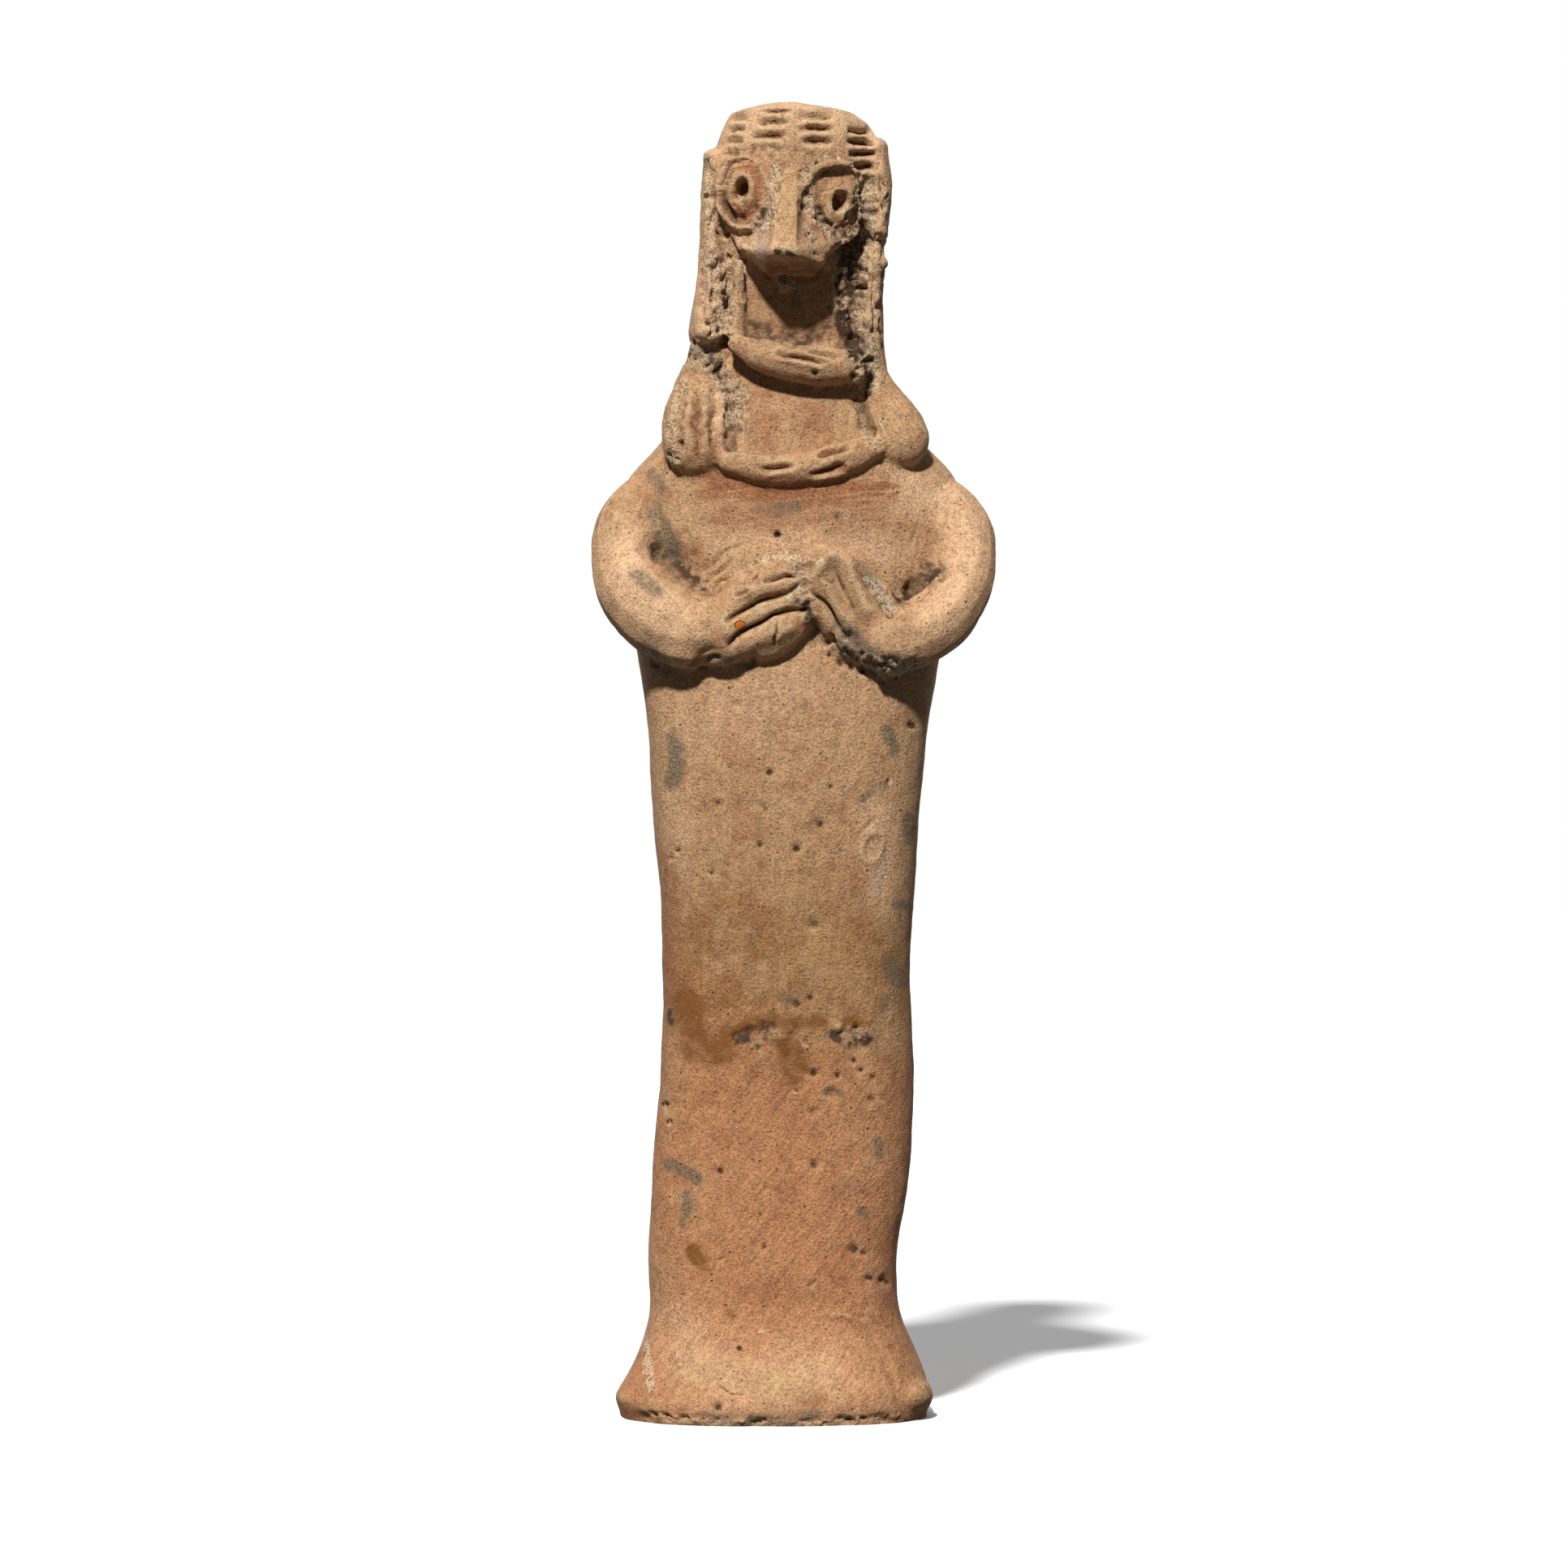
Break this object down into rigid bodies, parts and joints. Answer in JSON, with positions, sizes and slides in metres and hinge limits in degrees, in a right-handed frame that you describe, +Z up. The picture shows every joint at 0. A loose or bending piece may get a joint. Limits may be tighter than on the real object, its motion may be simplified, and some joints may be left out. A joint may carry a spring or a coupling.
{
  "type": "terracotta figure",
  "caption": "Standing terracotta pillar figure with a beaked face, ringed eyes, collars, long hair locks, hands meeting on the chest and a flared foot.",
  "frame": {"origin": "centre of the flat underside of the foot", "axes": "+Z up through the head, -Y the way the face looks, +X towards the figure's left hand"},
  "size_m": [0.0504, 0.0291, 0.1615],
  "materials": {
    "fired_clay": "matt, worn, with pale deposits"
  },
  "bodies": {
    "root": {"terracotta_figure": "fired_clay"}
  },
  "joints": []
}
